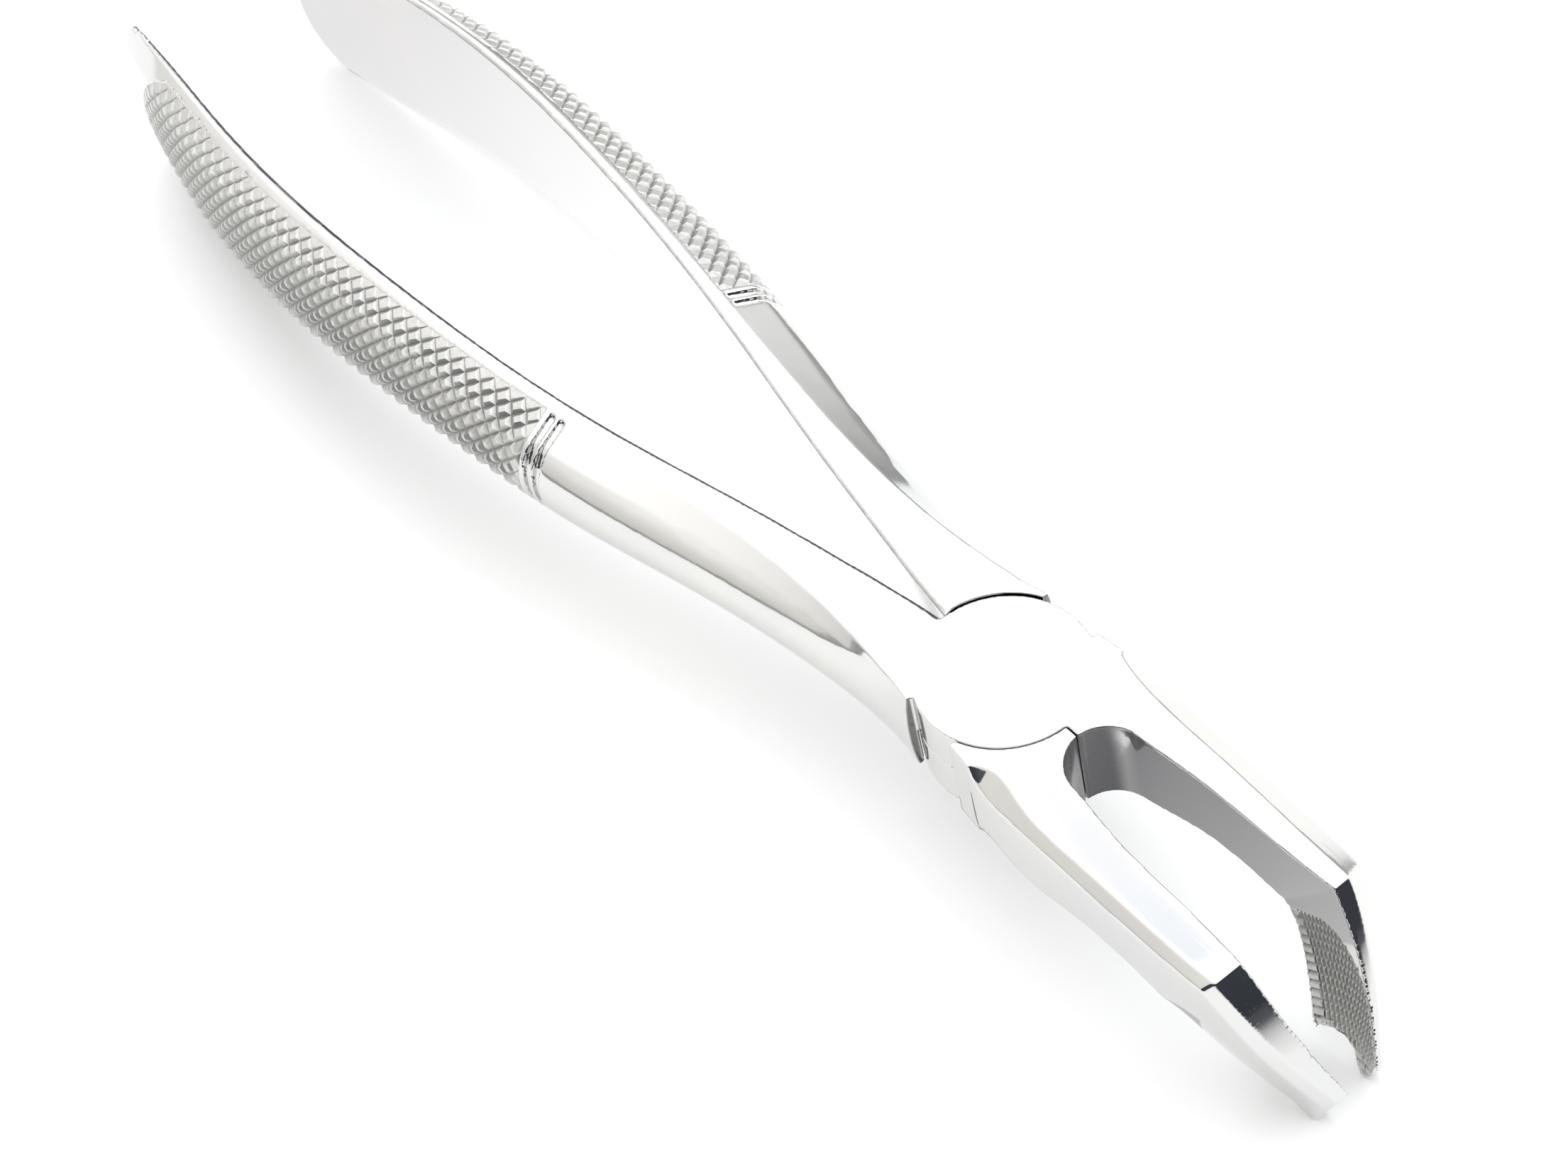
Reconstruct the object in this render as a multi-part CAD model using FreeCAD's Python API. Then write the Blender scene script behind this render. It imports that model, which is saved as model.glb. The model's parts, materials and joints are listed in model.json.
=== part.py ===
import FreeCAD, Part

import math
import os

from FreeCAD import Vector

# Extraction forceps with a lap joint: two forgings turning on one flush rivet.
# Millimetres. +X runs from the joint to the beaks, +Y to the left of that, +Z up.
# The forceps lie closed on a table at Z = 0, resting on the beak points and the grip ends.

# The origin is on the table, under the middle of the closed forceps.
JOINT_X = 44.5             # from there to the rivet's axis
JOINT_Z = 15.3             # height of the joint's middle plane above the table

# Lap joint.
JOINT_HALF = 4.75          # half of the joint's thickness
DISC_R = 8.0               # radius of the round lap faces
SEAT_GAP = 0.08            # gap between a disc's rim and the seat that wraps it
LAP_GAP = 0.02             # each lap face stands this far off the middle plane
SHOULDER_HANDLE_X = -3.4   # handle shoulders end here, and stop the opening
SHOULDER_JAW_X = 2.6       # jaw shoulders end here

# Rivet, peened into a cone at both ends and ground flush.
RIVET_R = 2.5
RIVET_HEAD_R = 3.5
RIVET_HEAD_H = 1.4
RIVET_CLEARANCE = 0.04

# Everything below is measured from the rivet's axis and the joint's middle plane.
# Grip and shaft, one row for each cross-section:
# x, inner face y, thickness, top z, bottom z, width of the flat top.
HANDLE_SECTIONS = [
    (SHOULDER_HANDLE_X, 0.1, 8.2, JOINT_HALF, -JOINT_HALF, 7.8),
    (-9.5, 0.4, 8.1, 4.65, -4.8, 6.6),
    (-18.0, 1.8, 7.6, 4.45, -5.2, 4.6),
    (-31.0, 4.2, 7.3, 4.1, -6.0, 2.8),
    (-45.0, 7.1, 7.2, 3.75, -6.9, 1.7),
    (-60.0, 9.7, 6.7, 4.1, -8.0, 1.0),
    (-76.0, 11.5, 6.2, 4.8, -9.6, 0.9),
    (-92.0, 12.4, 5.8, 5.1, -11.5, 0.8),
    (-108.0, 11.8, 5.2, 4.8, -13.6, 0.7),
    (-120.0, 10.5, 4.2, 4.0, -14.9, 0.6),
    (-134.0, 8.9, 1.5, 2.4, -15.4, 0.3),
]
RIDGE_DEPTH = 0.68         # the side's bevel ends here, as a share of the thickness
RIDGE_HEIGHT = 0.77        # and here, as a share of the half height
GRIP_END_X = -131.5        # blunt end of the grip
GRIP_END_TOP_Z = 2.1       # height of its top corner
GRIP_END_TOP_R = 1.6       # radius of its top corner
GRIP_END_BOTTOM_R = 6.5    # radius of its bottom corner, which rests on the table

# Two ring grooves between the shaft and the knurled grip.
RING_X = (-51.4, -52.6)
RING_WIDTH = 0.8
RING_DEPTH = 0.5
RING_TILT = 11.0           # degrees, square to the handle there
RING_SLOPE = 0.18          # how far the handle leans outwards there, per millimetre along X

# Jaw, from its shoulder at the joint to the point where the arm starts.
SEAM_GAP = 0.05            # half of the gap between the two shoulders when closed
SHOULDER_JAW_Y = 8.3       # outer corner of the shoulder
SHOULDER_END_X = 5.5       # the bevel along the arm starts here
CROTCH_X = 9.5             # round end of the long opening between the arms
ROOT_X = 12.2              # end of the full-thickness root
ROOT_INNER_Y = 3.45
ROOT_CORE_Y = 6.0          # the arm grows out of the root inside this

# Jaw arm, one row for each cross-section:
# x, inner y, outer y, top z, bottom z, height of the bevels.
ARM_SECTIONS = [
    (5.4, 3.0, 8.6, JOINT_HALF, -JOINT_HALF, 0.5),
    (8.2, 3.2, 9.0, JOINT_HALF, -JOINT_HALF, 1.6),
    (ROOT_X, ROOT_INNER_Y, 9.25, 4.72, -4.68, 1.8),
    (17.5, 4.1, 9.2, 4.5, -3.8, 1.8),
    (23.5, 4.5, 9.1, 4.35, -3.3, 1.8),
]
# Width of the bevel at each of those cross-sections, then along the beak. No bevel is higher than
# it is wide.
UPPER_CHAMFERS = (0.4, 1.5, 2.2, 2.2, 2.2, 2.2)
LOWER_CHAMFERS = (0.3, 1.7, 1.2, 1.0, 1.0, 1.0)
CHAMFER_DROP = 1.8         # height of the bevel along the beak
SIDE_CROWN = 0.12          # how far the outer side bulges

# Beak, one row for each cross-section across it: front edge x and z, back edge x and z,
# inner y, outer y, depth of the gouge's hollow.
BEAK_SECTIONS = [
    (34.6, 4.2, 28.2, -4.5, 4.95, 8.75, 0.05),
    (37.7, -0.3, 30.7, -6.4, 4.2, 7.7, 0.4),
    (39.9, -4.6, 32.5, -9.9, 3.2, 6.3, 0.8),
    (41.7, -8.6, 34.2, -13.5, 2.0, 4.6, 1.1),
    (43.3, -13.0, 36.9, -17.6, 0.95, 3.0, 1.2),
]

# Outline of the beak's end from its back corner to its front corner, with the point between.
BEAK_END = [
    (34.7, -13.9), (36.6, -12.9), (38.2, -13.2), (39.0, -14.4), (39.9, -15.3),
    (40.8, -14.3), (41.4, -12.2), (43.0, -10.4),
]


def line(start, end):
    return Part.LineSegment(Vector(*start), Vector(*end)).toShape()


def arc(start, middle, end):
    return Part.Arc(Vector(*start), Vector(*middle), Vector(*end)).toShape()


def loft(wires, degree=5):
    return Part.makeLoft(wires, True, False, False, degree)


def handle_wire(x, inner, thickness, top, bottom, flat, inset=0.0):
    """D-shaped cross-section with a flat top, a bevel and a round side, on the +Y side."""
    middle = (top + bottom) / 2
    half = (top - bottom) / 2 - inset
    depth = thickness - inset
    flat = min(flat, depth * 0.97)
    ridge_depth = max(RIDGE_DEPTH * depth, flat + 0.45 * (depth - flat))
    ridge = RIDGE_HEIGHT * half
    inner_top = (x, inner, middle + half)
    flat_top = (x, inner + flat, middle + half)
    ridge_top = (x, inner + ridge_depth, middle + ridge)
    side = (x, inner + depth, middle)
    ridge_bottom = (x, inner + ridge_depth, middle - ridge)
    flat_bottom = (x, inner + flat, middle - half)
    inner_bottom = (x, inner, middle - half)
    return Part.Wire([
        line(inner_top, flat_top),
        line(flat_top, ridge_top),
        arc(ridge_top, side, ridge_bottom),
        line(ridge_bottom, flat_bottom),
        line(flat_bottom, inner_bottom),
        line(inner_bottom, inner_top),
    ])


def grip_end_blank():
    """Side outline of the whole handle, with the grip end's two round corners."""
    bottom = -JOINT_Z
    top = 8.0
    low = GRIP_END_BOTTOM_R
    high = GRIP_END_TOP_R
    diagonal = 1 - math.sqrt(0.5)

    def point(from_end, z):
        return (GRIP_END_X + from_end, -20, z)

    end_top = point(0.6, GRIP_END_TOP_Z - high)
    edge_start = point(1.5 + high, GRIP_END_TOP_Z + 0.6)
    edge_end = point(13.5, top)
    outline = Part.Wire([
        line((0, -20, bottom), point(low, bottom)),
        arc(point(low, bottom), point(low * diagonal, bottom + low * diagonal),
            point(0, bottom + low)),
        line(point(0, bottom + low), end_top),
        arc(end_top, point(1.0, GRIP_END_TOP_Z - 0.35), edge_start),
        line(edge_start, edge_end),
        line(edge_end, (0, -20, top)),
        line((0, -20, top), (0, -20, bottom)),
    ])
    return Part.Face(outline).extrude(Vector(0, 40, 0))


def ring_groove(x):
    """Slab across the handle, less the core that the groove leaves."""
    before = max(row for row in HANDLE_SECTIONS if row[0] <= x)
    after = min(row for row in HANDLE_SECTIONS if row[0] > x)
    share = (x - before[0]) / (after[0] - before[0])
    row = [a + share * (b - a) for a, b in zip(before, after)]
    core = loft([
        handle_wire(x - 3, row[1] + 3 * RING_SLOPE, *row[2:], inset=RING_DEPTH),
        handle_wire(x + 3, row[1] - 3 * RING_SLOPE, *row[2:], inset=RING_DEPTH),
    ])
    slab = Part.makeBox(RING_WIDTH, 30, 40, Vector(x - RING_WIDTH / 2, row[1] - 5, -20))
    slab.rotate(Vector(x, row[1], 0), Vector(0, 0, 1), -RING_TILT)
    inner_side = Part.makeBox(12, 12, 40, Vector(x - 6, row[1] - 10.2, -20))
    return slab.cut(core).cut(inner_side)


def handle():
    """Shaft and grip on the +Y side, from the shoulder to the grip end."""
    blank = loft([handle_wire(*row) for row in HANDLE_SECTIONS])
    blank = blank.common(grip_end_blank())
    for x in RING_X:
        blank = blank.cut(ring_groove(x))
    return blank


def arm_wire(front, back, inner, outer, drop, chamfer):
    """Six-sided arm cross-section: front is its top edge, back its bottom edge, each (x, z)."""
    share = min(drop, chamfer) / math.dist(front, back)

    def point(part, y):
        return (front[0] + part * (back[0] - front[0]), y, front[1] + part * (back[1] - front[1]))

    return Part.Wire([
        line(point(0, inner), point(0, outer - chamfer)),
        line(point(0, outer - chamfer), point(share, outer)),
        arc(point(share, outer), point(0.5, outer + SIDE_CROWN), point(1 - share, outer)),
        line(point(1 - share, outer), point(1, outer - chamfer)),
        line(point(1, outer - chamfer), point(1, inner)),
        line(point(1, inner), point(0, inner)),
    ])


def beak_wire(front_x, front_z, back_x, back_z, inner, outer, hollow, chamfer):
    """Gouge cross-section: hollow towards the other beak, rounded outside."""
    across = math.dist((front_x, front_z), (back_x, back_z))
    share = min(0.3, min(CHAMFER_DROP, chamfer) / across)
    bevel = min(chamfer, 0.75 * (outer - inner))
    crown = outer + SIDE_CROWN + 0.35 * hollow

    def point(part, y):
        return (front_x + part * (back_x - front_x), y, front_z + part * (back_z - front_z))

    return Part.Wire([
        line(point(0, inner), point(0, outer - bevel)),
        line(point(0, outer - bevel), point(share, outer)),
        arc(point(share, outer), point(0.5, crown), point(1 - share, outer)),
        line(point(1 - share, outer), point(1, outer - bevel)),
        line(point(1, outer - bevel), point(1, inner)),
        arc(point(1, inner), point(0.5, inner + hollow), point(0, inner)),
    ])


def beak_end_cutter():
    """Everything past the end of the beak, leaving its point and two notches."""
    curve = Part.BSplineCurve()
    curve.interpolate([Vector(x, -2, z) for x, z in BEAK_END])
    first = BEAK_END[0]
    last = BEAK_END[-1]
    outline = Part.Wire([
        curve.toShape(),
        line((last[0], -2, last[1]), (50, -2, -6)),
        line((50, -2, -6), (50, -2, -25)),
        line((50, -2, -25), (30, -2, -25)),
        line((30, -2, -25), (30, -2, -14.4)),
        line((30, -2, -14.4), (first[0], -2, first[1])),
    ])
    return Part.Face(outline).extrude(Vector(0, 14, 0))


def jaw_root():
    """Full-thickness shoulder of the jaw and the round end of the long opening."""
    half = JOINT_HALF
    inside = Part.BSplineCurve()
    inside.interpolate([
        Vector(CROTCH_X, SEAM_GAP, -half), Vector(CROTCH_X + 0.3, 1.4, -half),
        Vector(CROTCH_X + 1.3, 2.7, -half), Vector(ROOT_X, ROOT_INNER_Y, -half),
    ])
    outer = ARM_SECTIONS[0][2]
    outline = Part.Wire([
        line((SHOULDER_JAW_X, SEAM_GAP, -half), (CROTCH_X, SEAM_GAP, -half)),
        inside.toShape(),
        line((ROOT_X, ROOT_INNER_Y, -half), (ROOT_X, ROOT_CORE_Y, -half)),
        line((ROOT_X, ROOT_CORE_Y, -half), (SHOULDER_END_X, ROOT_CORE_Y, -half)),
        line((SHOULDER_END_X, ROOT_CORE_Y, -half), (SHOULDER_END_X, outer, -half)),
        line((SHOULDER_END_X, outer, -half), (SHOULDER_JAW_X, SHOULDER_JAW_Y, -half)),
        line((SHOULDER_JAW_X, SHOULDER_JAW_Y, -half), (SHOULDER_JAW_X, SEAM_GAP, -half)),
    ])
    return Part.Face(outline).extrude(Vector(0, 0, 2 * half))


def arm(chamfers):
    """Arm from the shoulder to the bend of the beak."""
    bend = BEAK_SECTIONS[0]
    wires = [
        arm_wire((x, high), (x, low), inner, outer, drop, chamfer)
        for (x, inner, outer, high, low, drop), chamfer in zip(ARM_SECTIONS, chamfers)
    ]
    wires.append(arm_wire(bend[0:2], bend[2:4], bend[4], bend[5], CHAMFER_DROP, chamfers[-1]))
    return loft(wires, degree=3)


def beak(chamfer):
    """Beak below the bend, cut to its point and notches."""
    return loft([beak_wire(*row, chamfer) for row in BEAK_SECTIONS]).cut(beak_end_cutter())


def jaw(chamfers):
    """Shoulder, arm and beak on the +Y side."""
    return jaw_root().fuse([arm(chamfers), beak(chamfers[-1])]).removeSplitter()


def disc(bottom, top, radius):
    return Part.makeCylinder(radius, top - bottom, Vector(0, 0, bottom))


def mirrored(shape):
    return shape.mirror(Vector(0, 0, 0), Vector(0, 1, 0))


def rivet(clearance=0.0):
    """Pin with a cone at each end, flush with the joint's two faces; or the hole that clears it."""
    half = JOINT_HALF
    neck = half - RIVET_HEAD_H
    radius = RIVET_R + clearance
    head = RIVET_HEAD_R + clearance
    profile = Part.makePolygon([
        Vector(0, 0, -half), Vector(head, 0, -half), Vector(radius, 0, -neck),
        Vector(radius, 0, neck), Vector(head, 0, half), Vector(0, 0, half), Vector(0, 0, -half),
    ])
    return Part.Face(profile).revolve(Vector(0, 0, 0), Vector(0, 0, 1), 360)


def single_solid(shape):
    return max(shape.removeSplitter().Solids, key=lambda solid: solid.Volume)


def upper_half():
    """Forging with the upper lap face, the grip at -Y and the beak at +Y."""
    body = mirrored(handle()).fuse([jaw(UPPER_CHAMFERS), disc(LAP_GAP, JOINT_HALF, DISC_R)])
    body = body.cut(disc(-JOINT_HALF - 3, LAP_GAP, DISC_R + SEAT_GAP))
    return single_solid(body.cut(rivet()))


def lower_half():
    """Forging with the lower lap face, the grip at +Y and the beak at -Y."""
    body = handle().fuse([mirrored(jaw(LOWER_CHAMFERS)), disc(-JOINT_HALF, -LAP_GAP, DISC_R)])
    body = body.cut(disc(-LAP_GAP, JOINT_HALF + 3, DISC_R + SEAT_GAP))
    return single_solid(body.cut(rivet(RIVET_CLEARANCE)))


def main():
    os.makedirs("parts", exist_ok=True)
    nodes = {"upper_half": upper_half(), "lower_half": lower_half(), "pivot_rivet": rivet()}
    for name, shape in nodes.items():
        shape.translate(Vector(JOINT_X, 0, JOINT_Z))
        shape.exportStep("parts/" + name + ".step")
        box = shape.BoundBox
        print(name, "valid", shape.isValid(), "solids", len(shape.Solids), "volume", round(shape.Volume),
              "x", round(box.XMin, 2), round(box.XMax, 2), "y", round(box.YMin, 2), round(box.YMax, 2),
              "z", round(box.ZMin, 2), round(box.ZMax, 2))


main()
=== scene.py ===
import json
import math

import bpy
import numpy as np
from mathutils import Matrix, Vector


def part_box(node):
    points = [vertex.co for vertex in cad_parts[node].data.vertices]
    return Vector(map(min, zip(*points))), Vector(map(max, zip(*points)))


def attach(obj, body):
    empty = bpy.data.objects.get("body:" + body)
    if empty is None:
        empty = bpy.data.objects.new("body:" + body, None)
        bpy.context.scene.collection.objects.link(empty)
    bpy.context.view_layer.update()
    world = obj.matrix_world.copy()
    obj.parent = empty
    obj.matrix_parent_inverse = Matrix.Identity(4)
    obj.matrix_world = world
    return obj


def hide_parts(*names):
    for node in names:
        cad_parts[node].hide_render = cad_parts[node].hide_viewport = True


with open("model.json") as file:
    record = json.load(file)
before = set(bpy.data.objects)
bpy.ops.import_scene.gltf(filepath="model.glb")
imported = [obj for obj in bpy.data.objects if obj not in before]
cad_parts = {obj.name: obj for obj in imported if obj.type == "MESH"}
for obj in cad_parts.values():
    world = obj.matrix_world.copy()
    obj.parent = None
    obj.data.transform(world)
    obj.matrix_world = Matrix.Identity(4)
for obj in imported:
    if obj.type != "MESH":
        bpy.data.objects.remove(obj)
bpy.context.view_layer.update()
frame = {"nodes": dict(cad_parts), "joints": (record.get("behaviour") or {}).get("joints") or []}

# Looks of the extraction forceps, in metres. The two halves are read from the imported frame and
# refined; the knurl and the beak teeth are cut into skins that lie on them.

MM = 0.001
PIVOT = Vector(frame["joints"][0]["pos_m"])
JOINT_LOW, JOINT_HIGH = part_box("pivot_rivet")
RIVET_HEAD_R = (JOINT_HIGH.x - JOINT_LOW.x) / 2

# Camera: turns in degrees, lens in mm.
AIM = Vector((0.0208, -0.0061, PIVOT.z))
DISTANCE = 0.3136
AZIMUTH, ELEVATION, ROLL = 62.9, 50.84, -14.13
LENS = 81.45

# Steel.
STEEL_COOL = (0.66, 0.665, 0.66)
STEEL_WARM = (0.69, 0.68, 0.66)
STEEL_CUT = (0.56, 0.56, 0.545)    # between the grooves of the knurl and the teeth
# Painted shade in the grooves of the knurl and the teeth.
STEEL_GROOVE_SHADE = (0.3, 0.3, 0.29)
STEEL_PAINTED_SHADE = (0.12, 0.12, 0.13)    # painted shade where marked: the joint's recesses and a dark reflection line along the handle's inner top edge
EVEN = (1, 1, 1)                   # how much a noise is squeezed along x, y and z
GRAIN = (60, 900, 900)
SCRATCHES = (45, 1600, 1600)

# Light tent and table.
BRIGHT_SIDE = (-0.1, 0.62, 0.78)    # towards the brightest light
BRIGHT_LIGHT = (1.95, 1.95, 1.96)
DIM_LIGHT = (0.78, 0.755, 0.71)
DIM_LEAN, BRIGHT_LEAN = -0.6, 0.9   # cosine to that direction where the light is dim, and full
FALLOFF = 1.2
FLOOR_COOL = (0.86, 0.875, 0.885)
FLOOR_WARM = (0.88, 0.885, 0.885)
FLOOR_REACH = 3.0

# The room round the table, which only reflections see: degrees round it, height, shades.
ROOM_R = 0.8
WALL_POINTS = 19
FRONT_WALL = ((-95, 42), 0.46, ((0.035, 0.04, 0.055), (0.035, 0.04, 0.055)))
SIDE_WALL = ((-150, -95), 0.08, ((0.3, 0.3, 0.3), (0.6, 0.6, 0.58)))
BACK_WALL = ((90, 175), 0.46, ((0.35, 0.35, 0.35), (1.2, 1.2, 1.2)))

# Cards near the forceps, which only reflections see. Outlines are (x, y) in mm from the rivet.
DARK_REFLECTION_NEAR, DARK_REFLECTION_FAR = 0.13, 0.235    # where the painted dark reflection in front of the beaks starts, and is full
DARK_REFLECTION_SHADES = ((1.2, 1.2, 1.2), (0.04, 0.045, 0.06))
SHADE_OUTLINE = ((-6, -9), (28, -9), (28, 5), (-6, 5))
SHADE_SHADES = ((0.16, 0.165, 0.18), (0.62, 0.62, 0.64))
GLOW_OUTLINE = ((-165, 0), (-12, -2.5), (-12, 4), (-165, 21))
GLOW_FROM, GLOW_TO = -130 * MM, -70 * MM
GLOW_SHADES = ((1.1, 1.09, 1.11), (1.42, 1.42, 1.45))
# Painted reflection over the near jaw: a pale glowing card, placed from the camera, that only reflections
# see.
JAW_REFLECTION_OUTLINE = ((8.0, -7.2), (33.5, -9.4), (34.0, -5.2), (12.0, -3.2))
JAW_REFLECTION_LEVEL = 5.1 * MM              # of the near jaw's flat top, above the joint's middle
JAW_REFLECTION_REACH = 1.12                  # how far off it hangs, in distances from the camera to that top
JAW_REFLECTION_SHADES = ((1.5, 1.5, 1.5), (1.27, 1.31, 1.4))

# Forged surfaces.
FORGING_STEP = 0.3 * MM    # length of the refined triangles
VOXEL = 0.14               # mm
SMOOTHING = 8
FORGING_FACES = 150000
RIVET_STEP = 0.25 * MM
RIVET_VOXEL = 0.12         # mm
RIVET_SMOOTHING = 3
RIVET_FACES = 9000
RIVET_SINK = 0.6 * MM      # of its upper end, below the joint's top

# Seat of the joint at the lower half's shaft.
SEAT_R = 8.08 * MM
SEAT_OPENING = 0.2 * MM
SEAT_REACH = 1.5 * MM
RECESS_FROM, RECESS_TO = 8.3 * MM, 13.5 * MM    # reach of the joint's recesses from its axis

# Broken edge along the inside of each handle's top.
EDGE_WIDTH = 0.42 * MM
EDGE_SLOPE = 0.5

# Knurl: two sets of grooves across the outside of each grip.
KNURL_PITCH = 1.45 * MM
KNURL_DEPTH = 0.42 * MM
KNURL_HALF_WIDTH = 0.36    # of a groove at full depth, as a share of the pitch
KNURL_START = 53.4 * MM    # distance behind the pivot where it starts
KNURL_LEAN = 0.19          # how much sooner it starts further out, beside the ring groove
KNURL_END = 125.5 * MM     # and ends, at the middle of the grip's side
KNURL_BULGE = 9.0 * MM     # how much sooner it ends along the grip's two edges
KNURL_BAND = 1.3 * MM      # smooth band along the grip's inner edges
KNURL_RUNOUT = 1.6 * MM    # distance over which the grooves get shallow
KNURL_SKIN = 0.9 * MM      # how deep the knurled skin reaches into the forging
DIAGONAL = 0.70711         # the grooves run at 45 degrees

# Beaks: each curves about a line across the forceps.
BEAK_CENTRE = np.array(PIVOT) + np.array((-14.7, 0, -31.8)) * MM
BEAK_R = 61.0 * MM         # to the beak's front edge
BEAK_MIDDLE = 3.6 * MM     # from the front edge to the line through the beak's point
BEAK_FIRST_TURN = math.radians(33)
BEAK_LENGTH = 21.0 * MM
TEETH_START = 0.7 * MM     # along the beak
TEETH_PITCH = 0.54 * MM    # of the grooves along the beak
TEETH_DEPTH = 0.16 * MM
NOTCH_PITCH = 0.92 * MM    # of the notches across it
NOTCH_DEPTH = 0.2 * MM
TEETH_SKIN = 0.45 * MM


def unit(vectors):
    return vectors / np.maximum(np.linalg.norm(vectors, axis=-1, keepdims=True), 1e-12)


def dot(a, b):
    return (a * b).sum(-1, keepdims=True)


def ease(value):
    """0 to 1, starting and ending gently."""
    value = np.clip(value, 0, 1)
    return value * value * (3 - 2 * value)


def vertex_array(obj):
    points = np.empty(len(obj.data.vertices) * 3, np.float32)
    obj.data.vertices.foreach_get("co", points)
    return points.reshape(-1, 3).astype(float)


def normal_array(obj):
    normals = np.empty(len(obj.data.vertices) * 3, np.float32)
    obj.data.vertex_normals.foreach_get("vector", normals)
    return normals.reshape(-1, 3).astype(float)


def move_vertices(obj, points):
    obj.data.vertices.foreach_set("co", points.astype(np.float32).ravel())
    obj.data.update()


def mesh_arrays(obj):
    """Points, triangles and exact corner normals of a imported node."""
    mesh = obj.data
    points = np.empty(len(mesh.vertices) * 3, np.float32)
    mesh.vertices.foreach_get("co", points)
    corners = np.empty(len(mesh.loops), np.int32)
    mesh.loops.foreach_get("vertex_index", corners)
    normals = np.empty(len(mesh.loops) * 3, np.float32)
    mesh.corner_normals.foreach_get("vector", normals)
    return (points.reshape(-1, 3).astype(float), corners.reshape(-1, 3),
            unit(normals.reshape(-1, 3, 3).astype(float)))


def handle_points(points, faces, normals):
    """Cubic edge handles of each triangle: start and end handle of its three edges."""
    welded = np.unique(np.round(points / 1e-7).astype(np.int64), axis=0, return_inverse=True)[1]
    welded = welded.reshape(-1)
    count = welded.max() + 1
    start, end = faces.ravel(), np.roll(faces, -1, 1).ravel()
    key = welded[start] * count + welded[end]
    opposite = welded[end] * count + welded[start]
    order = np.argsort(key)
    place = np.clip(np.searchsorted(key[order], opposite), 0, len(key) - 1)
    mate = order[place]
    paired = (key[mate] == opposite)[:, None]
    normal_start = normals.reshape(-1, 3)
    normal_end = np.roll(normals, -1, 1).reshape(-1, 3)

    def handle(base, edge, own, other):
        flat = edge - dot(edge, own) * own
        crease = np.cross(own, np.where(paired, other, own))
        sharp = np.linalg.norm(crease, axis=1, keepdims=True) > 0.05
        crease = unit(crease)
        kept = dot(edge, crease) * crease
        length = np.linalg.norm(edge, axis=1, keepdims=True)
        kept = np.where(np.linalg.norm(kept, axis=1, keepdims=True) > 0.9 * length, kept, edge)
        return base + np.where(sharp, kept, flat) / 3

    edge = points[end] - points[start]
    first = handle(points[start], edge, normal_start, normal_end[mate])
    last = handle(points[end], -edge, normal_end, normal_start[mate])
    return first.reshape(-1, 3, 3), last.reshape(-1, 3, 3)


def refined(points, faces, normals, step):
    """Triangles split to about step long, on the curved surface that the normals describe."""
    corner = points[faces]
    first, last = handle_points(points, faces, normals)
    middle = (first.sum(1) + last.sum(1)) / 6
    centre = middle + (middle - corner.mean(1)) / 2
    edges = np.linalg.norm(np.roll(corner, -1, 1) - corner, axis=2).max(1)
    level = np.clip(np.ceil(edges / step), 1, 60).astype(int)
    thirds = corner + (np.roll(corner, -1, 1) - corner) / 3
    straight = np.linalg.norm(first - thirds, axis=2).max(1) < 2e-7
    level[straight] = 1
    out_points, out_faces, total = [], [], 0
    for n in np.unique(level):
        chosen = level == n
        grid = [(i, j) for i in range(n + 1) for j in range(n + 1 - i)]
        index = {ij: k for k, ij in enumerate(grid)}
        v = np.array([i for i, _ in grid]) / n
        w = np.array([j for _, j in grid]) / n
        u = 1 - v - w
        p, a, b = corner[chosen], first[chosen], last[chosen]
        terms = [
            (u ** 3, p[:, 0]), (v ** 3, p[:, 1]), (w ** 3, p[:, 2]),
            (3 * u * u * v, a[:, 0]), (3 * u * v * v, b[:, 0]),
            (3 * v * v * w, a[:, 1]), (3 * v * w * w, b[:, 1]),
            (3 * w * w * u, a[:, 2]), (3 * w * u * u, b[:, 2]),
            (6 * u * v * w, centre[chosen]),
        ]
        placed = sum(weight[None, :, None] * value[:, None, :] for weight, value in terms)
        small = [(index[i, j], index[i + 1, j], index[i, j + 1])
                 for i in range(n) for j in range(n - i)]
        small += [(index[i + 1, j], index[i + 1, j + 1], index[i, j + 1])
                  for i in range(n - 1) for j in range(n - 1 - i)]
        size = placed.shape[1]
        offsets = total + size * np.arange(placed.shape[0])
        out_points.append(placed.reshape(-1, 3))
        out_faces.append((np.array(small)[None] + offsets[:, None, None]).reshape(-1, 3))
        total += placed.shape[0] * size
    return np.concatenate(out_points), np.concatenate(out_faces)


def linked(name, data):
    """New object in the scene."""
    obj = bpy.data.objects.new(name, data)
    bpy.context.scene.collection.objects.link(obj)
    return obj


def flat_object(name, points, faces):
    mesh = bpy.data.meshes.new(name)
    mesh.from_pydata(points, [], faces)
    mesh.update()
    return linked(name, mesh)


def triangle_object(name, points, faces):
    """Like flat_object, for many triangles at once."""
    mesh = bpy.data.meshes.new(name)
    mesh.vertices.add(len(points))
    mesh.vertices.foreach_set("co", points.astype(np.float32).ravel())
    mesh.loops.add(faces.size)
    mesh.loops.foreach_set("vertex_index", faces.astype(np.int32).ravel())
    mesh.polygons.add(len(faces))
    mesh.polygons.foreach_set("loop_start", np.arange(0, faces.size, 3, dtype=np.int32))
    mesh.update(calc_edges=True)
    return linked(name, mesh)


def apply_modifiers(obj):
    graph = bpy.context.evaluated_depsgraph_get()
    mesh = bpy.data.meshes.new_from_object(obj.evaluated_get(graph))
    obj.modifiers.clear()
    old = obj.data
    obj.data = mesh
    bpy.data.meshes.remove(old)


def smooth_shading(obj):
    obj.data.polygons.foreach_set("use_smooth", [True] * len(obj.data.polygons))


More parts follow.
